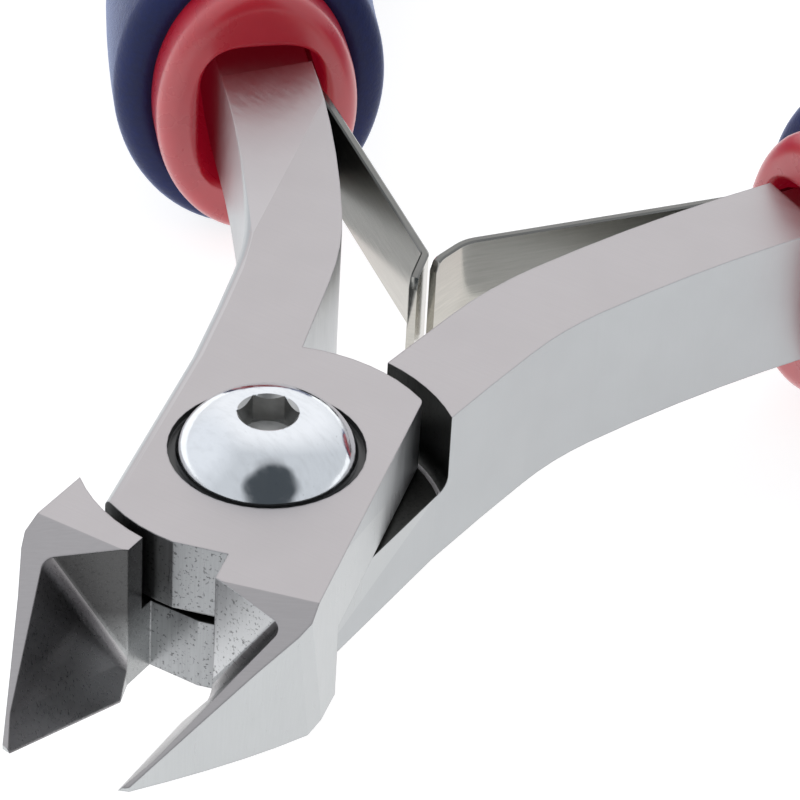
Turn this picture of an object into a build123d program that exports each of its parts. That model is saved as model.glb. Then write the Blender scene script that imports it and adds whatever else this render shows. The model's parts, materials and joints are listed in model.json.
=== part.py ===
from build123d import *

import os
from math import cos, degrees, radians, sin, sqrt, tan

os.makedirs("parts", exist_ok=True)

# Slim lap-joint diagonal cutting pliers with sprung handles and two-layer grips.
#
# Frame: the origin is on the pivot axis at the joint's flat underside. +Z points up
# through the pivot screw's head, +Y towards the handles along the middle line of the
# open pliers, and -Y towards the jaws. The pliers rest open, as their springs hold them.
#
# Each lever is drawn with the pliers closed, where the head has parallel sides, and is
# then turned about the pivot to its open place. The drawn lever has its jaw on +X and
# its handle on -X. The upper lever is that one, and the lower lever is its mirror image.

# Driving dimensions, in millimetres and degrees.
THICKNESS = 6.3
HEAD_HALF_WIDTH = 4.62
DISC_RADIUS = 6.7
OPEN_HALF_ANGLE = 7.5
MID_PLANE = THICKNESS / 2
LAP_GAP = 0.26
FLANK_END_Y = sqrt(DISC_RADIUS**2 - HEAD_HALF_WIDTH**2)

# Joint: the half-thickness disc of one lever turns inside the pocket of the other.
JAW_POCKET_RADIUS = 7.15
ARM_POCKET_RADIUS = 7.3
ARM_POCKET_FILLET = 0.55
DISC_CORNER_RADIUS = 0.45
THROAT_Y = -6.55

# Jaws. The cutting edges lie on the middle plane x = 0 when closed, and rise towards the
# tip with the flush face under them. The top face falls towards the tip.
JAW_RELIEF = 0.70
JAW_REAR_Y = -4.7
RELIEF_END_Y = -8.0
EDGE_HEEL_Y = -9.45
TIP_Y = -16.2
TIP_WIDTH, TIP_CHAMFER = 0.38, 0.1
FLUSH_START_Y = -8.0
FLUSH_SLOPE = 0.35
TOP_BEVEL_START_Y = -8.1
TOP_BEVEL_SLOPE = 0.41

# A jaw's outer side at its foot and at its crown: where it leaves the head, the corner
# after that, and a point on the bulge between the corner and the tip.
FOOT_SIDE = ((4.56, -7.0), (4.36, -8.0), (3.02, -11.1))
CROWN_SIDE = ((HEAD_HALF_WIDTH, -9.0), (4.34, -9.65), (2.36, -12.85))

# Hollow above each cutting edge: a narrow edge bevel, a longer face that leans further
# back, and an upright wall where the hollow ends towards the joint. Each hollow is ground
# by hand, so the two jaws differ a little.
EDGE_BEVEL_HEIGHT = 1.0
EDGE_BEVEL_LEAN = 0.85
HOLLOW_LEAN = {"left": 0.60, "right": 0.65}
HOLLOW_WALL_TURN = {"left": -30.0, "right": -23.0}
HOLLOW_FILLET = 0.55

# Arms, tangs and handles: the lever's centre line runs from the joint as a straight neck,
# a knee and a shank, then bows back along the grip. Headings are angles off +Y.
ARM_WIDTH = 3.94
NECK_START = (-2.51, 4.0)
NECK_HEADING = 4.5
NECK_LENGTH = 7.21
KNEE_RADIUS, KNEE_TURN = 18.0, 14.5
SHANK_RADIUS, SHANK_TURN = 75.0, 9.0
BOW_RADIUS, BOW_TURN = 72.0, 28.0
PALM_RADIUS, PALM_TURN = 160.0, 12.0
TAIL_LENGTH = 6.0
TANG_STEP = 0.65
SHOULDER_BLEND_Y = 8.2
OUTER_EDGE_RADIUS = 0.45
FACET_START, FACET_TURN = (-4.72, 5.8), 2.2
FACET_ANGLE = 7.6

# Pivot screw: a button head with a hex socket, a shoulder that the upper lever turns on,
# and a threaded end in the lower lever.
HEAD_RADIUS, HEAD_HEIGHT, HEAD_RIM = 3.42, 1.93, 0.22
DOME_SHOULDER_RADIUS, DOME_SHOULDER_RISE = 0.80 * HEAD_RADIUS, 0.62 * (HEAD_HEIGHT - HEAD_RIM)
SOCKET_FLATS, SOCKET_DEPTH = 2.05, 1.15
SOCKET_RIM_RADIUS, SOCKET_CHAMFER = 1.36, 0.14
SOCKET_TURN, SOCKET_CONE_DEPTH, SOCKET_CONE_TIP = 24.0, 0.35, 0.01
COUNTERBORE_RADIUS, COUNTERBORE_DEPTH = 3.72, 0.30
SHOULDER_RADIUS, THREAD_RADIUS = 2.0, 1.75
SCREW_END_RECESS, SCREW_END_CHAMFER = 0.35, 0.3
RUNNING_FIT, THREAD_FIT, FACE_FIT = 0.04, 0.01, 0.02
WASHER_RADIUS = 4.2

# Leaf springs: a foot riveted to the inner side of each tang inside the grip's mouth, and
# a blade that runs to the middle plane, where the two end tabs press on each other.
LEAF_THICKNESS = 0.35
LEAF_HEIGHT = 4.3
FOOT_LENGTH = 9.5
FOOT_START = {"left": -1.0, "right": 2.0}
ROOT_GAP = 0.30
BLADE_ANGLE = {"left": 43.9, "right": 46.0}
BEND_X = {"left": 0.63, "right": 0.44}
TAB_X = {"left": 0.28, "right": -0.09}
TAB_LENGTH = 2.0
BEND_RADIUS = {"left": 0.6, "right": 1.8}
BLADE_ROOT_CLEARANCE = {"left": 0.10, "right": 0.35}
RIVET_PLACES = (3.0, 7.2)
RIVET_RADIUS, RIVET_DEPTH = 0.7, 2.2
RIVET_SEAT_GAP = 0.012
RIVET_HEAD_RADIUS, RIVET_HEAD_HEIGHT, RIVET_TOP_RADIUS = 1.15, 0.45, 0.3
RIVET_SHOULDER_RADIUS, RIVET_SHOULDER_RISE = 0.83 * RIVET_HEAD_RADIUS, 0.67 * RIVET_HEAD_HEIGHT
RIVET_HOLE_SPARE = 0.1

# Grips: a vinyl liner over each tang, and a thicker cushion sleeve over the liner.
GRIP_OUTSET = 0.15
LINER_WIDTH, LINER_HEIGHT = 8.85, 12.1
LINER_SETBACK = 0.35
CUSHION_WIDTH, CUSHION_HEIGHT = 12.0, 14.7
CUSHION_SETBACK = 2.6
CUSHION_TAIL_GAP = 1.2
SLEEVE_FIT = 0.05
MOUTH_DEPTH = 12.0
MOUTH_OUTER_GAP, MOUTH_INNER_GAP, MOUTH_TOP_GAP = 0.8, 1.0, 0.3

# How far cutting shapes run past what they cut, and the length of a path whose start is
# all that matters.
REACH, OVERCUT = 30.0, 2.0
SHORT_ARC = 1.0
ON_WALL = 1e-4


def heading(angle):
    """Unit direction in plan at an angle off +Y, positive towards -X."""
    return Vector(-sin(radians(angle)), cos(radians(angle)))


def arm_path():
    """Centre line of the arm from the joint to the grip's mouth."""
    start = Vector(*NECK_START)
    neck = Line(start, start + heading(NECK_HEADING) * NECK_LENGTH)
    knee = JernArc(neck @ 1, neck % 1, KNEE_RADIUS, KNEE_TURN)
    shank = JernArc(knee @ 1, knee % 1, SHANK_RADIUS, SHANK_TURN)
    return [neck, knee, shank]


def grip_path(offset=0.0, setback=0.0, tail=TAIL_LENGTH, short=None):
    """Centre line along the grip, offset towards the inner side of the handle.

    It starts setback millimetres inside the mouth, and ends after the given tail, or
    after short millimetres along the bow.
    """
    shank = arm_path()[-1]
    turned = degrees(setback / BOW_RADIUS)
    mouth_heading = NECK_HEADING + KNEE_TURN + SHANK_TURN
    centre = shank @ 1 + heading(mouth_heading - 90) * BOW_RADIUS
    start_heading = mouth_heading - turned
    radius = BOW_RADIUS - offset
    start = centre - heading(start_heading - 90) * radius
    if short:
        return [JernArc(start, heading(start_heading), radius, -degrees(short / BOW_RADIUS))]
    bow = JernArc(start, heading(start_heading), radius, -(BOW_TURN - turned))
    palm = JernArc(bow @ 1, bow % 1, PALM_RADIUS - offset, -PALM_TURN)
    if not tail:
        return [bow, palm]
    return [bow, palm, Line(palm @ 1, palm @ 1 + (palm % 1) * tail)]


def band(path, width):
    """Flat strip of constant width along a centre line."""
    return trace(path, width)


def raised(face, low, high):
    """Plan face extruded between two heights."""
    return Pos(0, 0, low) * extrude(face, high - low)


def elliptical_rod(path, width, height):
    """Rod of elliptical section along a plan path at mid thickness, one stretch at a time."""
    rod = []
    for stretch in path:
        tangent = stretch % 0
        across = Vector(tangent.Y, -tangent.X, 0)
        plane = Plane(origin=stretch @ 0, x_dir=across, z_dir=tangent)
        rod.append(sweep(plane * Ellipse(width / 2, height / 2), stretch))
    return Pos(0, 0, MID_PLANE) * (Part() + rod)


def jaw_outline(flank_end, corner_end, bulge):
    """Plan of a jaw at one height: inner relief, cutting edge line, tip and outer side."""
    outline = [
        Polyline(
            (HEAD_HALF_WIDTH, JAW_REAR_Y),
            (JAW_RELIEF, JAW_REAR_Y),
            (JAW_RELIEF, RELIEF_END_Y),
            (0, EDGE_HEEL_Y),
            (0, TIP_Y),
            (TIP_WIDTH, TIP_Y + TIP_CHAMFER),
        ),
        ThreePointArc((TIP_WIDTH, TIP_Y + TIP_CHAMFER), bulge, corner_end),
        Line(corner_end, flank_end),
        Line(flank_end, (HEAD_HALF_WIDTH, JAW_REAR_Y)),
    ]
    return make_face(outline)


def jaw_blank():
    """Jaw before its bevels are ground: the outer side leans in a little towards its foot."""
    foot, crown = jaw_outline(*FOOT_SIDE), jaw_outline(*CROWN_SIDE)
    return loft([foot, Pos(0, 0, THICKNESS) * crown], ruled=True)


def side_wedge(points):
    """Solid with the given outline in the YZ plane, wide enough to cut a whole jaw."""
    outline = make_face(Polyline(*points, close=True))
    across = Plane(origin=(-REACH / 2, 0, 0), x_dir=(0, 1, 0), z_dir=(1, 0, 0))
    return extrude(across * outline, REACH)


def flush_wedge():
    """What is ground away under the flush face."""
    end_y = FLUSH_START_Y - REACH
    end_z = FLUSH_SLOPE * REACH
    return side_wedge([(FLUSH_START_Y, 0), (end_y, end_z), (end_y, -REACH), (FLUSH_START_Y, -REACH)])


def top_wedge():
    """What is ground away above the falling top face."""
    end_y = TOP_BEVEL_START_Y - REACH
    end_z = THICKNESS - TOP_BEVEL_SLOPE * REACH
    high_z = THICKNESS + REACH
    start = (TOP_BEVEL_START_Y, THICKNESS)
    return side_wedge([start, (end_y, end_z), (end_y, high_z), (TOP_BEVEL_START_Y, high_z)])


def hollow_cutter(side):
    """What is ground away above the cutting edge, as far back as the upright wall."""
    start_y = THROAT_Y
    start_z = FLUSH_SLOPE * (FLUSH_START_Y - start_y)
    rise = THICKNESS + OVERCUT
    lean = EDGE_BEVEL_LEAN * EDGE_BEVEL_HEIGHT
    far = lean + HOLLOW_LEAN[side] * (rise - EDGE_BEVEL_HEIGHT)
    outline = make_face(
        Polyline(
            (-OVERCUT, 0),
            (0, 0),
            (lean, EDGE_BEVEL_HEIGHT),
            (far, rise),
            (-OVERCUT, rise),
            close=True,
        )
    )
    across = Plane(origin=(0, start_y, start_z), x_dir=(1, 0, 0), z_dir=(0, -1, 0))
    prism = extrude(across * outline, REACH, dir=(0, -1, FLUSH_SLOPE))
    wall = Pos(JAW_RELIEF, RELIEF_END_Y, 0) * Rot(0, 0, HOLLOW_WALL_TURN[side])
    front = wall * Pos(0, -REACH / 2, 0) * Box(2 * REACH, REACH, 2 * REACH)
    cutter = prism & front
    ends = {
        edge: [(wall.inverse() * Pos(*point)).position for point in (edge @ 0, edge @ 1)]
        for edge in cutter.edges()
    }
    on_wall = [edge for edge in ends if all(abs(end.Y) < ON_WALL for end in ends[edge])]
    corner = max(on_wall, key=lambda edge: edge.center().X - edge.center().Z * ON_WALL)
    return fillet(corner, HOLLOW_FILLET)


def jaw(side):
    """One jaw with its flush face, falling top and hollow."""
    return jaw_blank() - flush_wedge() - top_wedge() - hollow_cutter(side)


def disc(low, high):
    """Half-thickness disc of the lap joint, with the head's flat sides and the throat's flat."""
    width = 2 * HEAD_HALF_WIDTH
    length = DISC_RADIUS - THROAT_Y
    slab = Pos(0, THROAT_Y + length / 2) * Rectangle(width, length)
    plan = Circle(DISC_RADIUS) & slab
    corners = [v for v in plan.vertices() if v.X > 0 and v.Y > 0]
    return raised(fillet(corners, DISC_CORNER_RADIUS), low, high)


def facet_wedge(side):
    """Shallow ground facet on the arm's top (side 1) or underside (side -1) by the grip."""
    drop = REACH * tan(radians(FACET_ANGLE))
    face_z = MID_PLANE + side * MID_PLANE
    outline = make_face(
        Polyline(
            (0, face_z),
            (-REACH, face_z - side * drop),
            (-REACH, face_z + side * REACH),
            (0, face_z + side * REACH),
            close=True,
        )
    )
    across = Plane(origin=(0, 0, 0), x_dir=(1, 0, 0), z_dir=(0, -1, 0))
    return Pos(*FACET_START) * Rot(0, 0, FACET_TURN) * extrude(across * outline, -REACH)


def outer_side(y):
    """X of the neck's straight outer side."""
    slope, half_width = tan(radians(NECK_HEADING)), ARM_WIDTH / 2 / cos(radians(NECK_HEADING))
    return NECK_START[0] - half_width - (y - NECK_START[1]) * slope


def arm_block():
    """Arm at full thickness, blended into the head's flat side, with ground facets."""
    start_y = NECK_START[1]
    blend = make_face(
        Polyline(
            (NECK_START[0], start_y),
            (-HEAD_HALF_WIDTH, start_y),
            (-HEAD_HALF_WIDTH, FLANK_END_Y),
            (outer_side(SHOULDER_BLEND_Y), SHOULDER_BLEND_Y),
            (NECK_START[0], SHOULDER_BLEND_Y),
            close=True,
        )
    )
    return raised(band(arm_path(), ARM_WIDTH) + blend, 0, THICKNESS)


def outer_edge_places():
    """Points on the top edges of the upper lever's outer side, from the head to the grip."""
    neck_y = SHOULDER_BLEND_Y + OVERCUT
    blend_end = Vector(outer_side(SHOULDER_BLEND_Y), SHOULDER_BLEND_Y)
    places = [
        Vector(-HEAD_HALF_WIDTH, 0),
        (Vector(-HEAD_HALF_WIDTH, FLANK_END_Y) + blend_end) / 2,
        Vector(outer_side(neck_y), neck_y),
    ]
    for stretch in arm_path()[1:]:
        tangent = stretch % 0.5
        places.append(stretch @ 0.5 + Vector(-tangent.Y, tangent.X) * (ARM_WIDTH / 2))
    return [place + Vector(0, 0, THICKNESS) for place in places]


def arm_pocket(low, high, upper):
    """What is cut from the arm round the other lever's disc, with a fillet at its floor."""
    cutter = raised(Circle(ARM_POCKET_RADIUS), low, high)
    rims = cutter.edges().sort_by(Axis.Z)
    return fillet(rims[-1] if upper else rims[0], ARM_POCKET_FILLET)


def lever(upper):
    """One lever, drawn closed with its jaw on +X and its handle on -X."""
    half = MID_PLANE - LAP_GAP / 2
    own_low, own_high = (THICKNESS - half, THICKNESS) if upper else (0, half)
    far_low, far_high = (0, THICKNESS - half) if upper else (half, THICKNESS)
    jaw_pocket = raised(Circle(JAW_POCKET_RADIUS), far_low, far_high)
    tang = raised(band(grip_path(tail=0), ARM_WIDTH), TANG_STEP, THICKNESS - TANG_STEP)
    arm = arm_block() - arm_pocket(far_low, far_high, upper) + disc(own_low, own_high)
    if upper:
        edges = [
            min(arm.edges(), key=lambda edge: edge.distance_to(place))
            for place in outer_edge_places()
        ]
        arm = fillet(edges, OUTER_EDGE_RADIUS) - facet_wedge(1) - facet_wedge(-1)
    jaw_side = "right" if upper else "left"
    return arm + tang + (jaw(jaw_side) - jaw_pocket)


def upper_lever():
    """Upper lever with its pivot bore and the counterbore for the screw's head."""
    body = lever(True)
    body -= raised(Circle(SHOULDER_RADIUS + RUNNING_FIT), 0, THICKNESS)
    body -= raised(Circle(COUNTERBORE_RADIUS), THICKNESS - COUNTERBORE_DEPTH, THICKNESS)
    return body


def lower_lever():
    """Lower lever with its tapped hole, mirrored so that its handle is on +X."""
    body = lever(False)
    body -= raised(Circle(THREAD_RADIUS + THREAD_FIT), 0, THICKNESS)
    return mirror(body, Plane.YZ)


def opened(solid, side):
    """Turns a closed-frame solid to its open place. Side 1 is the lever with its handle on +X."""
    return Rot(0, 0, -side * OPEN_HALF_ANGLE) * solid


def pivot_screw():
    """Button-head screw: domed head, hex socket, shoulder and threaded end."""
    seat = THICKNESS - COUNTERBORE_DEPTH + FACE_FIT
    top = seat + HEAD_HEIGHT
    shoulder_end = MID_PLANE - LAP_GAP / 2
    profile = [
        Polyline(
            (0, top),
            (SOCKET_RIM_RADIUS, top),
        ),
        ThreePointArc(
            (SOCKET_RIM_RADIUS, top),
            (DOME_SHOULDER_RADIUS, seat + HEAD_RIM + DOME_SHOULDER_RISE),
            (HEAD_RADIUS, seat + HEAD_RIM),
        ),
        Polyline(
            (HEAD_RADIUS, seat + HEAD_RIM),
            (HEAD_RADIUS, seat),
            (SHOULDER_RADIUS, seat),
            (SHOULDER_RADIUS, shoulder_end),
            (THREAD_RADIUS, shoulder_end),
            (THREAD_RADIUS, SCREW_END_RECESS + SCREW_END_CHAMFER),
            (THREAD_RADIUS - SCREW_END_CHAMFER, SCREW_END_RECESS),
            (0, SCREW_END_RECESS),
            (0, top),
        ),
    ]
    upright = Plane(origin=(0, 0, 0), x_dir=(1, 0, 0), z_dir=(0, -1, 0))
    body = revolve(upright * make_face(profile), Axis.Z)
    socket = Rot(0, 0, SOCKET_TURN) * RegularPolygon(SOCKET_FLATS / 2, 6, major_radius=False)
    floor_z = top - SOCKET_DEPTH
    mouth_radius = SOCKET_FLATS / 2 + SOCKET_CHAMFER
    drill_cone = Cone(SOCKET_CONE_TIP, SOCKET_FLATS / 2, SOCKET_CONE_DEPTH)
    chamfer_cone = Cone(SOCKET_FLATS / 2, mouth_radius, SOCKET_CHAMFER)
    body -= raised(socket, floor_z, top + OVERCUT)
    body -= Pos(0, 0, floor_z - SOCKET_CONE_DEPTH / 2) * drill_cone
    return body - Pos(0, 0, top - SOCKET_CHAMFER / 2) * chamfer_cone


def joint_washer():
    """Thin friction washer between the two half-thickness discs."""
    ring = Circle(WASHER_RADIUS) - Circle(SHOULDER_RADIUS + RUNNING_FIT)
    low = MID_PLANE - LAP_GAP / 2
    return raised(ring, low, low + LAP_GAP - FACE_FIT)


def to_side(solid, side):
    """Mirrors a solid drawn on the left handle when it belongs to the right one."""
    return solid if side == "left" else mirror(solid, Plane.YZ)


def turn_sign(side):
    return -1 if side == "left" else 1


def foot_offset():
    """Distance from the handle's centre line to the middle of the spring's sheet."""
    return ARM_WIDTH / 2 + LEAF_THICKNESS / 2


def spring_foot(side):
    """Flat end of a leaf spring, along the tang's inner side, with its rivet holes."""
    path = grip_path(offset=foot_offset(), setback=FOOT_START[side], short=FOOT_LENGTH)
    low = MID_PLANE - LEAF_HEIGHT / 2
    strip = raised(band(path, LEAF_THICKNESS), low, low + LEAF_HEIGHT)
    for place in rivet_places(side):
        strip -= place * Cylinder(RIVET_RADIUS + THREAD_FIT, 4 * LEAF_THICKNESS)
    return opened(to_side(strip, side), turn_sign(side))


def rivet_places(side):
    """Rivet centres on the tang's inner face, with +Z pointing away from the tang."""
    places = []
    for distance in RIVET_PLACES:
        arc = grip_path(offset=ARM_WIDTH / 2, setback=FOOT_START[side] + distance, short=SHORT_ARC)[0]
        start = arc @ 0
        tangent = arc % 0
        outward = Vector(tangent.Y, -tangent.X, 0)
        origin = Vector(start.X, start.Y, MID_PLANE)
        places.append(Plane(origin=origin, x_dir=tangent, z_dir=outward))
    return places


def rivet():
    """Domed rivet with a flattened top, set in from its seat on the tang's face at z = 0."""
    seat = LEAF_THICKNESS + RIVET_SEAT_GAP
    top = seat + RIVET_HEAD_HEIGHT
    shoulder = (RIVET_SHOULDER_RADIUS, seat + RIVET_SHOULDER_RISE)
    profile = [
        Polyline(
            (RIVET_TOP_RADIUS, top),
            (0, top),
            (0, -RIVET_DEPTH),
            (RIVET_RADIUS, -RIVET_DEPTH),
            (RIVET_RADIUS, seat),
            (RIVET_HEAD_RADIUS, seat),
        ),
        ThreePointArc((RIVET_HEAD_RADIUS, seat), shoulder, (RIVET_TOP_RADIUS, top)),
    ]
    upright = Plane(origin=(0, 0, 0), x_dir=(1, 0, 0), z_dir=(0, -1, 0))
    return revolve(upright * make_face(profile), Axis.Z)


def spring_rivets(side):
    """Two rivets through a spring's foot into its tang."""
    rivets = [place * rivet() for place in rivet_places(side)]
    return Part() + [opened(to_side(placed, side), turn_sign(side)) for placed in rivets]


def rivet_holes(side):
    """Holes in a tang for its spring's rivets, in the closed frame of the left handle."""
    holes = []
    for place in rivet_places(side):
        depth = RIVET_DEPTH + RIVET_HOLE_SPARE
        holes.append(place * Pos(0, 0, -depth / 2) * Cylinder(RIVET_RADIUS + THREAD_FIT, depth))
    return holes


def blade_root(side):
    """Where a spring's blade leaves its foot, in plan, with the pliers open."""
    path = grip_path(
        offset=foot_offset() + BLADE_ROOT_CLEARANCE[side],
        setback=FOOT_START[side] - ROOT_GAP,
        short=SHORT_ARC,
    )
    point = opened(Pos(*(path[0] @ 0)), -1).position
    sign = turn_sign(side)
    return Vector(sign * abs(point.X), point.Y)


def spring_blade(side):
    """Free blade of a leaf spring: straight to a bend by the middle plane, then a tab."""
    sign = turn_sign(side)
    root = blade_root(side)
    run = abs(root.X) - BEND_X[side]
    bend = Vector(sign * BEND_X[side], root.Y - run / tan(radians(BLADE_ANGLE[side])))
    drop = sqrt(TAB_LENGTH**2 - (BEND_X[side] - TAB_X[side]) ** 2)
    tip = Vector(sign * TAB_X[side], bend.Y - drop)
    path = FilletPolyline(root, bend, tip, radius=BEND_RADIUS[side])
    low = MID_PLANE - LEAF_HEIGHT / 2
    return raised(band(path, LEAF_THICKNESS), low, low + LEAF_HEIGHT)


def grip_liner(side):
    """Vinyl sleeve on the tang, closed at its tail and open round the spring at its mouth."""
    path = grip_path(offset=-GRIP_OUTSET, setback=LINER_SETBACK)
    body = elliptical_rod(path, LINER_WIDTH, LINER_HEIGHT)
    socket = band(grip_path(tail=SLEEVE_FIT), ARM_WIDTH + 2 * SLEEVE_FIT)
    body -= raised(socket, TANG_STEP - SLEEVE_FIT, THICKNESS - TANG_STEP + SLEEVE_FIT)
    mouth_width = ARM_WIDTH + MOUTH_OUTER_GAP + MOUTH_INNER_GAP
    mouth_offset = (MOUTH_INNER_GAP - MOUTH_OUTER_GAP) / 2
    mouth = band(grip_path(offset=mouth_offset, short=MOUTH_DEPTH), mouth_width)
    body -= raised(mouth, -MOUTH_TOP_GAP, THICKNESS + MOUTH_TOP_GAP)
    return opened(to_side(body, side), turn_sign(side))


def grip_cushion(side):
    """Thick soft sleeve over the liner, set back from the liner's lip."""
    tail = TAIL_LENGTH - CUSHION_TAIL_GAP
    path = grip_path(offset=-GRIP_OUTSET, setback=CUSHION_SETBACK, tail=tail)
    body = elliptical_rod(path, CUSHION_WIDTH, CUSHION_HEIGHT)
    body -= elliptical_rod(path, LINER_WIDTH + 2 * SLEEVE_FIT, LINER_HEIGHT + 2 * SLEEVE_FIT)
    return opened(to_side(body, side), turn_sign(side))


def lever_with_holes(side):
    """Finished lever at its open place, with the holes for its spring's rivets."""
    body = upper_lever() if side == "left" else lower_lever()
    for hole in rivet_holes(side):
        body -= to_side(hole, side)
    return opened(body, turn_sign(side))


def save(name, shape):
    """Writes one sub-part's STEP file and prints its solids, volume and size."""
    export_step(shape, f"parts/{name}.step")
    size = shape.bounding_box().size
    print(name, len(shape.solids()), round(shape.volume, 2), size)


save("lever_upper", lever_with_holes("left"))
save("lever_lower", lever_with_holes("right"))
save("pivot_screw", pivot_screw())
save("joint_washer", joint_washer())
for hand in ("left", "right"):
    save(f"spring_foot_{hand}", spring_foot(hand))
    save(f"spring_blade_{hand}", spring_blade(hand))
    save(f"spring_rivets_{hand}", spring_rivets(hand))
    save(f"grip_liner_{hand}", grip_liner(hand))
    save(f"grip_cushion_{hand}", grip_cushion(hand))
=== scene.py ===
import json
from math import cos, hypot, pi, radians, sin, sqrt, tan

import bpy
import numpy as np
from mathutils import Matrix, Vector


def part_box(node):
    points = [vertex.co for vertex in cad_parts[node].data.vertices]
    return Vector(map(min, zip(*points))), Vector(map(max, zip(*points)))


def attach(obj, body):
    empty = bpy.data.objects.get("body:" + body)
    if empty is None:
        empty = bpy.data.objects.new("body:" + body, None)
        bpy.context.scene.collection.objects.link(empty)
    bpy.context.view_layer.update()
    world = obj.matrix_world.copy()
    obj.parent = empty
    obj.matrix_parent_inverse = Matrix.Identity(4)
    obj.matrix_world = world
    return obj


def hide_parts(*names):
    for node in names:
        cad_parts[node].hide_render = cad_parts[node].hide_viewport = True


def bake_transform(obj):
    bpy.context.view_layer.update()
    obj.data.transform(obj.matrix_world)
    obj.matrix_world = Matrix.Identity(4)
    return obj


# Diagonal cutting pliers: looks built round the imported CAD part. Lengths are in metres,
# in the part's frame: pivot at the origin, handles along +Y, screw head up.

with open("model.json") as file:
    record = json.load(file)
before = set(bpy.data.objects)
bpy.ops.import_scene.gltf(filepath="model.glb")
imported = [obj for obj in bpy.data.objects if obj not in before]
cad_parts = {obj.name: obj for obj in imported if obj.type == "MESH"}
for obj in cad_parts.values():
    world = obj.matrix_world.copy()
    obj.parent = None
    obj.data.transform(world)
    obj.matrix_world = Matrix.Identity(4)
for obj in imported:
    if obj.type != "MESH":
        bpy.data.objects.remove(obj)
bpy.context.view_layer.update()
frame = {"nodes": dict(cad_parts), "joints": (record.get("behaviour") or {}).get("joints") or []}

MM = 0.001
JOINTS = {joint["name"]: joint for joint in frame["joints"]}
OPEN_HALF_ANGLE = radians(JOINTS["pivot"]["range_deg"][1] / 2)

# Sizes read from the frame.
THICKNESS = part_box("lever_upper")[1].z
MID_Z = THICKNESS / 2
FLOOR_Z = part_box("grip_cushion_left")[0].z
LINER_HEIGHT = 2 * (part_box("grip_liner_left")[1].z - MID_Z)
CUSHION_HEIGHT = 2 * (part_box("grip_cushion_left")[1].z - MID_Z)
LEAF_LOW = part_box("spring_blade_left")[0].z
LEAF_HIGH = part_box("spring_blade_left")[1].z

# Handle centre line: mouth of the grip, its heading off +Y, then a bow and a palm stretch
# that curve back, and a straight tail.
MOUTH = (12.0707 * MM, 25.0636 * MM)
MOUTH_HEADING = radians(28.0) + OPEN_HALF_ANGLE
BOW_RADIUS, BOW_TURN = 72 * MM, radians(28.0)
PALM_RADIUS, PALM_TURN = 160 * MM, radians(12.0)
TAIL = 6 * MM
TANG_WIDTH = 3.94 * MM

SIDES = {"left": -1, "right": 1}
HANDLE_BODY = {"left": "upper", "right": "lower"}


# ---------------------------------------------------------------------------- meshes


def mesh_object(name, points, faces, smooth=True):
    """Mesh from points and faces, linked to the scene."""
    mesh = bpy.data.meshes.new(name)
    mesh.from_pydata([tuple(p) for p in points], [], faces)
    mesh.validate()
    mesh.update()
    for polygon in mesh.polygons:
        polygon.use_smooth = smooth
    made = bpy.data.objects.new(name, mesh)
    bpy.context.scene.collection.objects.link(made)
    return made


def ring_loft(name, rings, flip, cap_start=False, cap_end=False):
    """Skin over closed rings that have the same number of points."""
    count = len(rings[0])
    points = [point for ring in rings for point in ring]
    faces = []
    for r in range(len(rings) - 1):
        for i in range(count):
            j = (i + 1) % count
            face = (r * count + i, r * count + j, (r + 1) * count + j, (r + 1) * count + i)
            faces.append(face[::-1] if flip else face)
    if cap_start:
        first = tuple(range(count))
        faces.append(first if flip else first[::-1])
    if cap_end:
        last = tuple(range(len(points) - count, len(points)))
        faces.append(last[::-1] if flip else last)
    return mesh_object(name, points, faces)


def handle_station(distance, side):
    """Point and unit tangent in plan at a distance along a handle's centre line."""
    sign = SIDES[side]
    point = np.array([-MOUTH[0], MOUTH[1]])
    heading = MOUTH_HEADING
    stretches = ((BOW_RADIUS, BOW_TURN), (PALM_RADIUS, PALM_TURN), (None, None))
    left = distance
    for radius, turn in stretches:
        tangent = np.array([-sin(heading), cos(heading)])
        inward = np.array([cos(heading), sin(heading)])
        if radius is None or left <= 0:
            point = point + tangent * left
            break
        turned = min(left / radius, turn)
        point = point + inward * radius * (1 - cos(turned)) + tangent * radius * sin(turned)
        heading -= turned
        left -= turned * radius
        if turned < turn:
            break
    tangent = np.array([-sin(heading), cos(heading)])
    mirror = np.array([-sign, 1])
    return point * mirror, tangent * mirror


def handle_length():
    return BOW_RADIUS * BOW_TURN + PALM_RADIUS * PALM_TURN + TAIL


def handle_ring(distance, side, half_width, half_height, power=2.0, shift=0.0, count=96):
    """Superellipse ring across a handle. Shift is towards the handle's inner side."""
    centre, tangent = handle_station(distance, side)
    sign = SIDES[side]
    inward = np.array([tangent[1], -tangent[0]]) * (-sign)
    ring = []
    for k in range(count):
        angle = 2 * pi * k / count
        c, s = cos(angle), sin(angle)
        u = half_width * np.sign(c) * abs(c) ** (2 / power)
        v = half_height * np.sign(s) * abs(s) ** (2 / power)
        plan = centre + inward * (u + shift)
        ring.append((plan[0], plan[1], MID_Z + v))
    return ring


# ---------------------------------------------------------------------------- grips

GRIP_OUTSET = 0.15 * MM
LINER_WIDTH = 8.85 * MM
CUSHION_WIDTH = 12.0 * MM
LINER_SETBACK = 0.35 * MM
CUSHION_SETBACK = 2.6 * MM
CUSHION_TAIL_GAP = 1.2 * MM
MOUTH_DEPTH = 11.5 * MM
MOUTH_OUTER_GAP, MOUTH_INNER_GAP, MOUTH_TOP_GAP = 0.8 * MM, 0.75 * MM, 0.3 * MM
LINER_LIP_RADIUS = 0.85 * MM
LINER_INNER_RADIUS = 0.45 * MM
LINER_BRINK_POWER, LINER_MOUTH_POWER = 2.5, 3.8
LINER_TAIL_RADIUS = 2.4 * MM
CUSHION_LIP_RADIUS = 1.1 * MM
CUSHION_TAIL_RADIUS = 2.6 * MM
STATION_STEP = 1.5 * MM
ROUND_STEPS = 8
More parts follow.
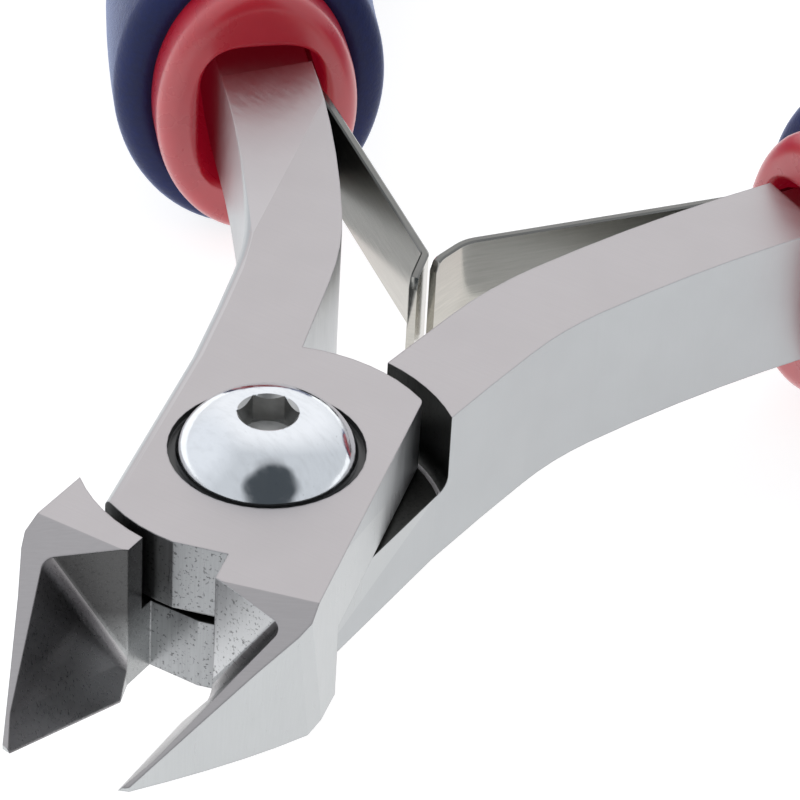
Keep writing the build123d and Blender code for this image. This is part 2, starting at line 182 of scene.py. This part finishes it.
# Where rings cross the liner's front face, as shares of the way from lip to brink.
FACE_SHARES = (0.3, 0.6, 0.85)
# The mouth's end ring and the cushion's hidden ends sink a little into what they touch.
MOUTH_END_SINK = 0.4 * MM
MOUTH_END_HALF_HEIGHT = 2 * MM
CUSHION_SINK = 0.1 * MM
# The tail's round takes most of the cushion's wall and is drawn out along the handle.
TAIL_WALL_SHARE = 0.9
TAIL_DRAWN_OUT = 1.6


def rounding(steps=ROUND_STEPS):
    """Pairs (along, across) of a quarter round, from (0, 0) to (1, 1)."""
    return [(1 - cos(a), sin(a)) for a in np.linspace(0, pi / 2, steps + 1)]


def spans(start, end, step=STATION_STEP):
    return np.linspace(start, end, max(2, int(abs(end - start) / step) + 1))


def liner(side):
    """Red liner: rounded tail, plain body, a fat rounded lip and a deep mouth round the tang."""
    half_w, half_h = LINER_WIDTH / 2, LINER_HEIGHT / 2
    end = handle_length()
    rings = []
    for along, across in rounding():
        inset = LINER_TAIL_RADIUS * (1 - across)
        distance = end - LINER_TAIL_RADIUS * along
        rings.append(handle_ring(distance, side, half_w - inset, half_h - inset, 2, -GRIP_OUTSET))
    lip_start = LINER_SETBACK + LINER_LIP_RADIUS
    for distance in spans(end - LINER_TAIL_RADIUS - STATION_STEP, lip_start):
        rings.append(handle_ring(distance, side, half_w, half_h, 2, -GRIP_OUTSET))
    for along, across in rounding()[1:]:
        inset = LINER_LIP_RADIUS * along
        distance = lip_start - LINER_LIP_RADIUS * across
        rings.append(handle_ring(distance, side, half_w - inset, half_h - inset, 2, -GRIP_OUTSET))
    mouth_half_w = (TANG_WIDTH + MOUTH_OUTER_GAP + MOUTH_INNER_GAP) / 2
    mouth_half_h = THICKNESS / 2 + MOUTH_TOP_GAP
    mouth_shift = (MOUTH_INNER_GAP - MOUTH_OUTER_GAP) / 2
    face_w, face_h = half_w - LINER_LIP_RADIUS, half_h - LINER_LIP_RADIUS
    brink_w, brink_h = mouth_half_w + LINER_INNER_RADIUS, mouth_half_h + LINER_INNER_RADIUS
    for share in FACE_SHARES:
        w = face_w + (brink_w - face_w) * share
        h = face_h + (brink_h - face_h) * share
        shift = -GRIP_OUTSET + (mouth_shift + GRIP_OUTSET) * share
        power = 2 + (LINER_BRINK_POWER - 2) * share
        rings.append(handle_ring(LINER_SETBACK, side, w, h, power, shift))
    for along, across in rounding():
        inset = LINER_INNER_RADIUS * across
        distance = LINER_SETBACK + LINER_INNER_RADIUS * along
        power = LINER_BRINK_POWER + (LINER_MOUTH_POWER - LINER_BRINK_POWER) * across
        rings.append(
            handle_ring(distance, side, brink_w - inset, brink_h - inset, power, mouth_shift)
        )
    for distance in spans(LINER_SETBACK + LINER_INNER_RADIUS + STATION_STEP, MOUTH_DEPTH):
        rings.append(
            handle_ring(distance, side, mouth_half_w, mouth_half_h, LINER_MOUTH_POWER, mouth_shift)
        )
    end_w = TANG_WIDTH / 2 - MOUTH_END_SINK
    rings.append(
        handle_ring(MOUTH_DEPTH, side, end_w, MOUTH_END_HALF_HEIGHT, LINER_MOUTH_POWER, 0)
    )
    return ring_loft(f"liner_{side}", rings, side == "left", cap_start=True)


def cushion(side):
    """Blue cushion sleeve with a soft rounded mouth and tail, open round the liner."""
    half_w, half_h = CUSHION_WIDTH / 2, CUSHION_HEIGHT / 2
    hole_w, hole_h = LINER_WIDTH / 2, LINER_HEIGHT / 2
    sunk_w, sunk_h = hole_w - CUSHION_SINK, hole_h - CUSHION_SINK
    end = handle_length() - CUSHION_TAIL_GAP
    rings = [
        handle_ring(end - STATION_STEP, side, sunk_w, sunk_h, 2, -GRIP_OUTSET),
        handle_ring(end, side, hole_w, hole_h, 2, -GRIP_OUTSET),
    ]
    wall = min(half_w - hole_w, half_h - hole_h)
    tail_round = min(CUSHION_TAIL_RADIUS, TAIL_WALL_SHARE * wall)
    tail_length = TAIL_DRAWN_OUT * tail_round
    for along, across in rounding():
        inset = tail_round * (1 - across)
        distance = end - tail_length * along
        rings.append(handle_ring(distance, side, half_w - inset, half_h - inset, 2, -GRIP_OUTSET))
    lip_start = CUSHION_SETBACK + CUSHION_LIP_RADIUS
    for distance in spans(end - tail_length - STATION_STEP, lip_start):
        rings.append(handle_ring(distance, side, half_w, half_h, 2, -GRIP_OUTSET))
    for along, across in rounding()[1:]:
        inset = CUSHION_LIP_RADIUS * along
        distance = lip_start - CUSHION_LIP_RADIUS * across
        rings.append(handle_ring(distance, side, half_w - inset, half_h - inset, 2, -GRIP_OUTSET))
    rings.append(handle_ring(CUSHION_SETBACK, side, hole_w, hole_h, 2, -GRIP_OUTSET))
    inner = CUSHION_SETBACK + STATION_STEP
    rings.append(handle_ring(inner, side, sunk_w, sunk_h, 2, -GRIP_OUTSET))
    return ring_loft(f"cushion_{side}", rings, side == "left")


# ---------------------------------------------------------------------- leaf springs

LEAF_THICKNESS = 0.35 * MM
LEAF_EDGE_ROUND = 0.07 * MM
FOOT_LENGTH = 9.5 * MM
FOOT_START = {"left": -1.0 * MM, "right": 2.0 * MM}
BLADE_ANGLE = {"left": radians(43.9), "right": radians(46.0)}
BEND_X = {"left": 0.63 * MM, "right": 0.44 * MM}
TAB_X = {"left": 0.28 * MM, "right": -0.09 * MM}
TAB_LENGTH = 2.0 * MM
BEND_RADIUS = {"left": 0.6 * MM, "right": 1.8 * MM}
TAB_CORNER = 0.5 * MM
FOOT_STEP = 0.5 * MM
BLADE_STEPS, BEND_STEPS = 40, 9
LEAF_SHARP_ANGLE = radians(30)
# Corners of the strip's section: which side, and which way the rounded edge is cut.
LEAF_CORNERS = (
    (1, 1, 1, 0),
    (1, 1, 0, 1),
    (-1, 1, 0, 1),
    (-1, 1, 1, 0),
    (-1, -1, 1, 0),
    (-1, -1, 0, 1),
    (1, -1, 0, 1),
    (1, -1, 1, 0),
)


def leaf_line(side):
    """Plan points of a spring's middle line, from the foot's end to the tab's end."""
    sign = SIDES[side]
    offset = (TANG_WIDTH + LEAF_THICKNESS) / 2
    points = []
    for distance in spans(FOOT_START[side] + FOOT_LENGTH, FOOT_START[side], FOOT_STEP):
        centre, tangent = handle_station(distance, side)
        inward = np.array([tangent[1], -tangent[0]]) * (-sign)
        points.append(centre + inward * offset)
    root = np.array(JOINTS[f"blade_{side}_flex"]["pos_m"][:2])
    run = abs(root[0]) - BEND_X[side]
    bend = np.array([sign * BEND_X[side], root[1] - run / tan(BLADE_ANGLE[side])])
    drop = sqrt(TAB_LENGTH**2 - (BEND_X[side] - TAB_X[side]) ** 2)
    tip = np.array([sign * TAB_X[side], bend[1] - drop])
    into, out = root - bend, tip - bend
    into, out = into / np.linalg.norm(into), out / np.linalg.norm(out)
    half_turn = (pi - np.arccos(np.clip(into @ out, -1, 1))) / 2
    cut = BEND_RADIUS[side] * tan(half_turn)
    first, last = bend + into * cut, bend + out * cut
    for share in np.linspace(0, 1, BLADE_STEPS)[1:]:
        points.append(root + (first - root) * share)
    for share in np.linspace(0, 1, BEND_STEPS)[1:]:
        near = first * (1 - share) ** 2 + bend * 2 * share * (1 - share) + last * share**2
        points.append(near)
    for share in np.linspace(0, 1, BEND_STEPS)[1:]:
        points.append(last + (tip - last) * share)
    return points


def leaf_spring(side):
    """One bent strip: foot inside the grip, blade, and end tab with rounded corners."""
    line = leaf_line(side)
    middle = (LEAF_LOW + LEAF_HIGH) / 2
    half_height = (LEAF_HIGH - LEAF_LOW) / 2
    half = LEAF_THICKNESS / 2
    rings = []
    for k, point in enumerate(line):
        before, after = line[max(k - 1, 0)], line[min(k + 1, len(line) - 1)]
        tangent = (after - before) / np.linalg.norm(after - before)
        across = np.array([tangent[1], -tangent[0]])
        to_end = np.linalg.norm(point - line[-1])
        cut = max(0.0, TAB_CORNER - to_end)
        drop = TAB_CORNER - sqrt(max(TAB_CORNER**2 - cut**2, 0.0))
        height = half_height - drop
        ring = []
        for u, v, in_u, in_v in LEAF_CORNERS:
            wide = u * (half - LEAF_EDGE_ROUND * in_v)
            high = v * (height - LEAF_EDGE_ROUND * in_u)
            ring.append((wide, high))
        rings.append([(*(point + across * u), middle + v) for u, v in ring])
    strip = ring_loft(f"leaf_spring_{side}", rings, False, cap_start=True, cap_end=True)
    strip.data.set_sharp_from_angle(angle=LEAF_SHARP_ANGLE)
    return strip


# ------------------------------------------------------------------------- materials


def put(tree, kind, inputs=None, **settings):
    """Adds a node. An input given as a socket is linked, and any other value is set."""
    made = tree.nodes.new(kind)
    for name, value in settings.items():
        setattr(made, name, value)
    for name, value in (inputs or {}).items():
        if isinstance(value, bpy.types.NodeSocket):
            tree.links.new(value, made.inputs[name])
        else:
            made.inputs[name].default_value = value
    return made


def new_material(name, **values):
    """Material with a Principled shader, whose even values are set on its own sockets."""
    material = bpy.data.materials.new(name)
    material.use_nodes = True
    tree = material.node_tree
    shader = tree.nodes["Principled BSDF"]
    for key, value in values.items():
        shader.inputs[key.replace("_", " ")].default_value = value
    return material, tree, shader


def coordinates(tree, turn=0.0, stretch=(1, 1, 1)):
    """Object coordinates turned about Z and stretched."""
    source = put(tree, "ShaderNodeTexCoord").outputs["Object"]
    turned = put(
        tree,
        "ShaderNodeMapping",
        {"Vector": source, "Rotation": (0, 0, turn)},
    ).outputs["Vector"]
    return put(tree, "ShaderNodeMapping", {"Vector": turned, "Scale": stretch}).outputs["Vector"]


def noise(tree, vector, scale, detail=3.0, roughness=0.55):
    made = put(
        tree,
        "ShaderNodeTexNoise",
        {"Vector": vector, "Scale": scale, "Detail": detail, "Roughness": roughness},
    )
    return made.outputs["Fac"]


def ramp(tree, value, low, high, to_low=0.0, to_high=1.0):
    """Value mapped from low..high to to_low..to_high, held at the ends."""
    made = put(
        tree,
        "ShaderNodeMapRange",
        {"Value": value, "From Min": low, "From Max": high, "To Min": to_low, "To Max": to_high},
    )
    return made.outputs["Result"]


def mix(tree, share, first, second):
    """Colour mix. Share is a socket or a number."""
    made = put(tree, "ShaderNodeMix", data_type="RGBA")
    tree.links.new(share, made.inputs["Factor"])
    for index, value in ((6, first), (7, second)):
        if isinstance(value, bpy.types.NodeSocket):
            tree.links.new(value, made.inputs[index])
        else:
            made.inputs[index].default_value = (*value, 1)
    return made.outputs[2]


def bumped(tree, shader, height, distance, strength=1.0, edge_radius=0.0):
    """Relief from a height, over edges that are rounded to edge_radius."""
    inputs = {"Height": height, "Distance": distance, "Strength": strength}
    if edge_radius:
        edge = put(tree, "ShaderNodeBevel", {"Radius": edge_radius}, samples=4)
        inputs["Normal"] = edge.outputs["Normal"]
    relief = put(tree, "ShaderNodeBump", inputs)
    tree.links.new(relief.outputs["Normal"], shader.inputs["Normal"])


EDGE_ROUND = 0.10 * MM
FOOT_FADE_TOP, FOOT_FADE_BOTTOM = 3.4 * MM, 1.6 * MM


def shade(colour, factor):
    return tuple(channel * factor for channel in colour)


def ground_steel(name, colour, roughness, turn, stretch, lines=0.10, pits=0.0, foot=None):
    """Ground tool steel: fine lines one way, faint clouding, and pits if it is left rough.

    Where a foot colour is given, the steel fades to it towards its lower part: painted shade, darker
    higher up.
    """
    material, tree, shader = new_material(name, Metallic=1.0)
    fine = noise(tree, coordinates(tree, turn, stretch), 1.0, detail=4.0)
    clouds = noise(tree, coordinates(tree), 420.0, detail=2.0)
    base = mix(tree, ramp(tree, fine, 0.3, 0.7), shade(colour, 1 - lines), colour)
    base = mix(tree, ramp(tree, clouds, 0.35, 0.7, 0, 0.35), base, shade(colour, 0.90))
    # Painted shade: darker higher up, fading to the lighter foot colour lower down.
    if foot:
        place = put(tree, "ShaderNodeSeparateXYZ", {"Vector": coordinates(tree)}).outputs["Z"]
        base = mix(tree, ramp(tree, place, FOOT_FADE_TOP, FOOT_FADE_BOTTOM), base, foot)
    if pits:
        dots = noise(tree, coordinates(tree), 7600.0, detail=3.0)
        share = ramp(tree, dots, 0.58, 0.66, 0, pits)
        base = mix(tree, share, base, shade(colour, 0.25))
    tree.links.new(base, shader.inputs["Base Color"])
    rough = ramp(tree, fine, 0.3, 0.7, roughness - 0.05, roughness + 0.06)
    tree.links.new(rough, shader.inputs["Roughness"])
    bumped(tree, shader, fine, 0.0025 * MM, 0.6, EDGE_ROUND)
    return material


def lever_materials():
    """Materials of the levers' kinds of face, by name."""
    along_y, along_x, upright = (14000, 500, 9000), (500, 14000, 9000), (12000, 12000, 500)
    # Lighter colours that the painted shade of the hollow and relief fades to lower down.
    hollow_foot, relief_foot = (0.50, 0.49, 0.495), (0.40, 0.41, 0.41)
    return {
        "top": ground_steel("steel_top", (0.54, 0.515, 0.52), 0.38, radians(8), along_x, 0.07),
        "bevel": ground_steel("steel_bevel", (0.44, 0.425, 0.43), 0.34, radians(-20), along_x),
        # Painted light: the facet, and the edge rounds in its mask, are a lighter copy of the top
        # steel.
        "facet": ground_steel("steel_facet_painted_light", (0.61, 0.59, 0.595), 0.38, radians(30), along_x, 0.06),
        # Painted light: the wall is a brightened copy of the throat's pitted steel.
        "wall": ground_steel("steel_wall_painted_light", (0.66, 0.67, 0.68), 0.38, 0, upright, 0.1, 0.8),
        # Painted shade: the counterbore round the screw head is near black, for the shadow in its wall
        # and under the head's rim.
        "seat": ground_steel("steel_seat_painted_shade", (0.09, 0.09, 0.09), 0.36, 0, along_y, 0.1),
        "side": ground_steel("steel_side", (0.50, 0.515, 0.525), 0.34, 0, upright, 0.04),
        "outer": ground_steel("steel_outer", (0.55, 0.565, 0.57), 0.32, 0, upright, 0.07),
        "flush": ground_steel("steel_flush", (0.58, 0.58, 0.59), 0.28, 0, along_y),
        # Painted shade and reflection: the hollow is dark steel and the relief near black, both
        # lightening towards their foot colour lower down.
        "hollow": ground_steel(
            "steel_hollow_painted_shade", (0.25, 0.24, 0.245), 0.30, radians(30), along_x, 0.2, foot=hollow_foot
        ),
        "relief": ground_steel(
            "steel_relief_painted_shade", (0.11, 0.11, 0.11), 0.30, radians(30), along_x, 0.2, 0.3, relief_foot
        ),
        "throat": ground_steel("steel_throat", (0.41, 0.42, 0.43), 0.32, 0, upright, 0.2, 0.85),
        "shade": ground_steel("steel_shade", (0.34, 0.345, 0.35), 0.32, 0, upright, 0.2, 0.6),
        # Painted shade: faces in the pocket and the lapped faces between the levers are near black.
        "pocket": ground_steel("steel_pocket_painted_shade", (0.10, 0.10, 0.095), 0.38, 0, upright, 0.3, 0.4),
    }


# Bounds of the levers' kinds of face, in millimetres in the closed frame.
SEAT_RADIUS, SEAT_LOW, SEAT_HIGH = 3.76, 5.9, 6.28
THROAT_RADIUS, POCKET_RADIUS = 7.5, 7.6
JAW_TIP_SIDE_Y, JAW_Y, WALL_Y, THROAT_Y = -10.2, -8.0, -7.5, -4.6
WALL_X, RELIEF_X, THROAT_X = 4.2, 4.0, 0.6
LAP_LOW, LAP_HIGH = 2.5, 3.9
# Bounds on the parts of a face's unit normal.
LEVEL, NEARLY_LEVEL, TILTED = 0.9, 0.998, 0.97
UPRIGHT, BEVEL_RISE, FLUSH_DROP = 0.05, 0.5, -0.3
HOLLOW_RISE, HOLLOW_LEAN, SHADE_LEAN, RELIEF_LEAN = 0.08, -0.3, -0.12, 0.2
WALL_LEAN = -0.5


def jaw_face_kind(normal):
    """Kind of a face in the jaw from its normal, or None."""
    if normal[0] < HOLLOW_LEAN and normal[2] > HOLLOW_RISE:
        return "hollow"
    if normal[2] < FLUSH_DROP:
        return "flush"
    if normal[2] > BEVEL_RISE:
        return "bevel"
    return None


def throat_face_kind(normal, x, y, side):
    """Kind of an upright face round the throat, or None."""
    radius = hypot(x, y)
    inward = (normal[0] * x + normal[1] * y) < 0
    if inward and radius < POCKET_RADIUS and y > THROAT_Y:
        return "pocket"
    if radius < THROAT_RADIUS and y < THROAT_Y and x < THROAT_X:
        return "shade" if side == "left" and normal[0] < SHADE_LEAN else "throat"
    if JAW_TIP_SIDE_Y < y < THROAT_Y and x < RELIEF_X and normal[0] < RELIEF_LEAN:
        return "throat" if side == "left" else "relief"
    return None


def lever_face_kind(normal, centre, side):
    """Kind of a lever's face from its normal and centre in the closed frame, jaw on +X.

    The lower lever's hollow is ground right up to the joint, and the upper lever's is not.
    """
    x, y, z = centre / MM
    if hypot(x, y) < SEAT_RADIUS and SEAT_LOW < z < SEAT_HIGH:
        return "seat"
    if y > 0 and TILTED < normal[2] < NEARLY_LEVEL:
        return "facet"
    upright = abs(normal[2]) < UPRIGHT
    if JAW_TIP_SIDE_Y < y < WALL_Y and normal[1] < WALL_LEAN and x < WALL_X and upright:
        return "wall" if side == "left" else "relief"
    in_jaw = jaw_face_kind(normal) if y < JAW_Y else None
    if in_jaw:
        return in_jaw
    if abs(normal[2]) > LEVEL:
        return "pocket" if LAP_LOW < z < LAP_HIGH else "top"
    in_throat = throat_face_kind(normal, x, y, side)
    if in_throat:
        return in_throat
    return "outer" if y < 0 else "side"


def dress_lever(node, side, materials):
    """Gives each face of a lever the material of its kind."""
    sign = SIDES[side]
    closed = Matrix.Rotation(sign * OPEN_HALF_ANGLE, 3, "Z")
    mirror = Vector((-sign, 1, 1))
    mesh = node.data
    mesh.materials.clear()
    kinds = list(materials)
    for kind in kinds:
        mesh.materials.append(materials[kind])
    for polygon in mesh.polygons:
        normal = (closed @ polygon.normal) * mirror
        centre = (closed @ polygon.center) * mirror
        kind = lever_face_kind(np.array(normal), np.array(centre), side)
        polygon.material_index = kinds.index(kind)


# The screw's socket: its faces within this radius and depth, below the rim.
SOCKET_RADIUS = 1.22 * MM
SOCKET_DEPTH = 1.6 * MM
SOCKET_RIM = 0.02 * MM
CHROME_EDGE_ROUND = 0.08 * MM


def chrome_material():
    """Polished plating with faint wipe marks and specks."""
    material, tree, shader = new_material("screw_chrome", Metallic=1.0)
    colour = (0.80, 0.83, 0.86)
    marks = noise(tree, coordinates(tree, 0.4, (1, 3, 1)), 1500.0, detail=5.0)
    specks = noise(tree, coordinates(tree), 9000.0)
    base = mix(tree, ramp(tree, marks, 0.45, 0.75, 0, 0.4), colour, shade(colour, 0.82))
    base = mix(tree, ramp(tree, specks, 0.68, 0.74, 0, 0.5), base, shade(colour, 0.5))
    tree.links.new(base, shader.inputs["Base Color"])
    tree.links.new(ramp(tree, marks, 0.35, 0.75, 0.07, 0.20), shader.inputs["Roughness"])
    bumped(tree, shader, marks, 0.003 * MM, 0.3, CHROME_EDGE_ROUND)
    return material


def plain_steel_material(name, colour, roughness):
    """Small hidden steel pieces: even metal with a little clouding."""
    material, tree, shader = new_material(name, Metallic=1.0)
    clouds = noise(tree, coordinates(tree), 2500.0, detail=3.0)
    base = mix(tree, ramp(tree, clouds, 0.3, 0.7), shade(colour, 0.8), colour)
    tree.links.new(base, shader.inputs["Base Color"])
    tree.links.new(ramp(tree, clouds, 0.3, 0.7, roughness, roughness + 0.1), shader.inputs["Roughness"])
    bumped(tree, shader, clouds, 0.004 * MM, 0.4)
    return material


def leaf_material(name, colour):
    """Rolled spring strip, smooth and slightly warm."""
    material, tree, shader = new_material(name, Metallic=1.0)
    rolled = noise(tree, coordinates(tree, 0, (600, 600, 9000)), 1.0, detail=3.0)
    base = mix(tree, ramp(tree, rolled, 0.3, 0.7), shade(colour, 0.88), colour)
    tree.links.new(base, shader.inputs["Base Color"])
    tree.links.new(ramp(tree, rolled, 0.3, 0.7, 0.12, 0.20), shader.inputs["Roughness"])
    bumped(tree, shader, rolled, 0.002 * MM, 0.4)
    return material


def liner_material():
    """Glossy dipped vinyl. A faint red glow stands in for the light that passes through it."""
    material, tree, shader = new_material(
        "liner_vinyl",
        Subsurface_Weight=0.5,
        Subsurface_Radius=(1.0, 0.05, 0.05),
        Subsurface_Scale=1.6 * MM,
        Specular_IOR_Level=0.6,
        Coat_Weight=1.0,
        Coat_IOR=1.6,
        Coat_Roughness=0.38,
        Emission_Color=(1.0, 0.01, 0.05, 1),
        Emission_Strength=0.12,
    )
    colour = (0.34, 0.002, 0.010)
    waves = noise(tree, coordinates(tree), 700.0, detail=3.0)
    base = mix(tree, ramp(tree, waves, 0.3, 0.7), shade(colour, 0.86), colour)
    tree.links.new(base, shader.inputs["Base Color"])
    tree.links.new(ramp(tree, waves, 0.3, 0.7, 0.24, 0.34), shader.inputs["Roughness"])
    bumped(tree, shader, waves, 0.008 * MM, 0.2)
    return material


def cushion_material():
    """Matt foamed vinyl with a fine grain."""
    material, tree, shader = new_material(
        "cushion_vinyl",
        Specular_IOR_Level=0.3,
        Sheen_Weight=0.9,
        Sheen_Roughness=0.28,
        Sheen_Tint=(0.60, 0.70, 1.0, 1),
    )
    colour = (0.007, 0.014, 0.078)
    grain = noise(tree, coordinates(tree), 3800.0, detail=4.0, roughness=0.65)
    clouds = noise(tree, coordinates(tree), 260.0)
    base = mix(tree, ramp(tree, clouds, 0.3, 0.7), shade(colour, 0.85), shade(colour, 1.1))
    base = mix(tree, ramp(tree, grain, 0.45, 0.7, 0, 0.5), base, shade(colour, 1.5))
    tree.links.new(base, shader.inputs["Base Color"])
    tree.links.new(ramp(tree, grain, 0.3, 0.7, 0.48, 0.62), shader.inputs["Roughness"])
    bumped(tree, shader, grain, 0.05 * MM, 0.5)
    return material


# ---------------------------------------------------------------------- put together


def dress(piece, material):
    piece.data.materials.clear()
    piece.data.materials.append(material)


def build_grips():
    liner_vinyl, cushion_vinyl = liner_material(), cushion_material()
    for side in SIDES:
        red = liner(side)
        dress(red, liner_vinyl)
        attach(red, HANDLE_BODY[side])
        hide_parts(f"grip_liner_{side}")
        blue = cushion(side)
        dress(blue, cushion_vinyl)
        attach(blue, HANDLE_BODY[side])
        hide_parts(f"grip_cushion_{side}")


def build_springs():
    strip = leaf_material("spring_strip", (0.58, 0.565, 0.52))
    # Painted shade: the strip's upper and lower edges are coloured dark.
    painted_edge_shade = leaf_material("spring_edge_painted_shade", (0.22, 0.22, 0.21))
    for side in SIDES:
        spring = leaf_spring(side)
        dress(spring, strip)
        spring.data.materials.append(painted_edge_shade)
        for polygon in spring.data.polygons:
            polygon.material_index = int(abs(polygon.normal.z) > 0.5)
        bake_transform(spring)
        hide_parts(f"spring_foot_{side}", f"spring_blade_{side}")


def dress_screw(node):
    """Chrome all over, with duller, darker steel inside the socket; its darker colour is painted shade
    in the recess.
    """
    dress(node, chrome_material())
    # Painted shade: the socket's steel is darker than the chrome.
    node.data.materials.append(plain_steel_material("screw_socket_painted_shade", (0.55, 0.55, 0.54), 0.32))
    head_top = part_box("pivot_screw")[1].z
    for polygon in node.data.polygons:
        x, y, z = polygon.center
        deep_enough = head_top - SOCKET_DEPTH < z < head_top - SOCKET_RIM
        polygon.material_index = int(hypot(x, y) < SOCKET_RADIUS and deep_enough)


def dress_cad_nodes():
    nodes = frame["nodes"]
    materials = lever_materials()
    for name, side in (("lever_upper", "left"), ("lever_lower", "right")):
        dress_lever(nodes[name], side, materials)
    dress_screw(nodes["pivot_screw"])
    washer = plain_steel_material("washer_dark", (0.10, 0.10, 0.10), 0.4)
    dress(nodes["joint_washer"], washer)
    rivet = plain_steel_material("rivet_plain", (0.55, 0.55, 0.55), 0.3)
    for side in SIDES:
        dress(nodes[f"spring_rivets_{side}"], rivet)


# --------------------------------------------------------------------- studio, camera

CAMERA_AZIMUTH = radians(22.209)
CAMERA_ELEVATION = radians(35.807)
CAMERA_ROLL = radians(3.27)
CAMERA_DISTANCE = 151.5 * MM
CAMERA_TARGET = Vector((3.15 * MM, 5.077 * MM, THICKNESS))
CAMERA_LENS, SENSOR = 180, 36
FLOOR_SIZE = 3.0
SOFTBOX_AIM = (0, 5 * MM, 0)
TENT_COLOUR = (0.69, 0.71, 0.74)
# Parts of the tent: towards, inner and outer angle of its soft edge, and its colour.
TENT_PARTS = (
    ((-0.30, 0.75, 0.58), 25, 60, (1.06, 1.06, 1.08)),
    ((-0.90, -0.10, 0.35), 20, 50, (0.92, 0.94, 0.98)),
    ((0.24, -0.36, 0.90), 6, 18, (0.46, 0.47, 0.49)),
    ((0.42, -0.56, 0.72), 18, 25, (0.07, 0.08, 0.09)),
    ((0.47, -0.77, 0.43), 27, 36, (0.07, 0.08, 0.09)),
)


def camera_back(azimuth, elevation):
    """Unit vector from the object to the camera."""
    return Vector(
        (sin(azimuth) * cos(elevation), -cos(azimuth) * cos(elevation), sin(elevation))
    )


def build_camera():
    lens = bpy.data.cameras.new("camera")
    lens.lens = CAMERA_LENS
    lens.sensor_width = SENSOR
    lens.clip_start = 1 * MM
    camera = bpy.data.objects.new("camera", lens)
    bpy.context.scene.collection.objects.link(camera)
    back = camera_back(CAMERA_AZIMUTH, CAMERA_ELEVATION)
    turn = (-back).to_track_quat("-Z", "Y").to_matrix() @ Matrix.Rotation(CAMERA_ROLL, 3, "Z")
    camera.matrix_world = Matrix.Translation(CAMERA_TARGET + back * CAMERA_DISTANCE) @ turn.to_4x4()
    bpy.context.scene.camera = camera


def softbox(name, place, size, power, colour=(1, 1, 1)):
    """Rectangular area light that faces the object."""
    light = bpy.data.lights.new(name, "AREA")
    light.shape = "RECTANGLE"
    light.size, light.size_y = size
    light.energy = power
    light.color = colour
    lamp = bpy.data.objects.new(name, light)
    bpy.context.scene.collection.objects.link(lamp)
    lamp.visible_glossy = False
    place, aim = Vector(place), Vector(SOFTBOX_AIM)
    turn = (aim - place).to_track_quat("-Z", "Y").to_matrix().to_4x4()
    lamp.matrix_world = Matrix.Translation(place) @ turn


def build_floor():
    material, tree, shader = new_material("floor_white", Roughness=0.9)
    shader.inputs["Base Color"].default_value = (0.4, 0.4, 0.4, 1)
    shader.inputs["Emission Color"].default_value = (1, 1, 1, 1)
    shader.inputs["Emission Strength"].default_value = 0.8
    half = FLOOR_SIZE / 2
    around = ((-1, -1), (1, -1), (1, 1), (-1, 1))
    corners = [(half * x, half * y, FLOOR_Z) for x, y in around]
    floor = mesh_object("floor", corners, [(0, 1, 2, 3)], smooth=False)
    floor.data.materials.append(material)


def build_world():
    """White to the camera. For light and reflections, a pale tent with brighter and darker parts."""
    world = bpy.data.worlds.new("studio")
    bpy.context.scene.world = world
    world.use_nodes = True
    tree = world.node_tree
    sky = put(tree, "ShaderNodeTexCoord").outputs["Generated"]
    colour = TENT_COLOUR
    for direction, inner, outer, radiance in TENT_PARTS:
        toward = put(
            tree,
            "ShaderNodeVectorMath",
            {0: sky, 1: Vector(direction).normalized()},
            operation="DOT_PRODUCT",
        ).outputs["Value"]
        share = ramp(tree, toward, cos(radians(outer)), cos(radians(inner)))
        colour = mix(tree, share, colour, radiance)
    fill = tree.nodes["Background"]
    tree.links.new(colour, fill.inputs["Color"])
    seen = put(tree, "ShaderNodeBackground", {"Color": (1, 1, 1, 1), "Strength": 1.0})
    rays = put(tree, "ShaderNodeLightPath")
    both = put(tree, "ShaderNodeMixShader", {"Fac": rays.outputs["Is Camera Ray"]})
    tree.links.new(fill.outputs[0], both.inputs[1])
    tree.links.new(seen.outputs[0], both.inputs[2])
    tree.links.new(both.outputs[0], tree.nodes["World Output"].inputs["Surface"])


def build_studio():
    build_floor()
    build_world()
    softbox("back_softbox", (-0.18, 0.55, 0.42), (0.6, 0.45), 0.75)
    softbox("left_softbox", (-0.55, -0.05, 0.30), (0.5, 0.5), 1.2, colour=(0.95, 0.98, 1.0))
    softbox("right_softbox", (0.50, -0.20, 0.35), (0.4, 0.4), 0.4)
    bpy.context.scene.view_settings.view_transform = "Standard"


build_grips()
build_springs()
dress_cad_nodes()
build_camera()
build_studio()
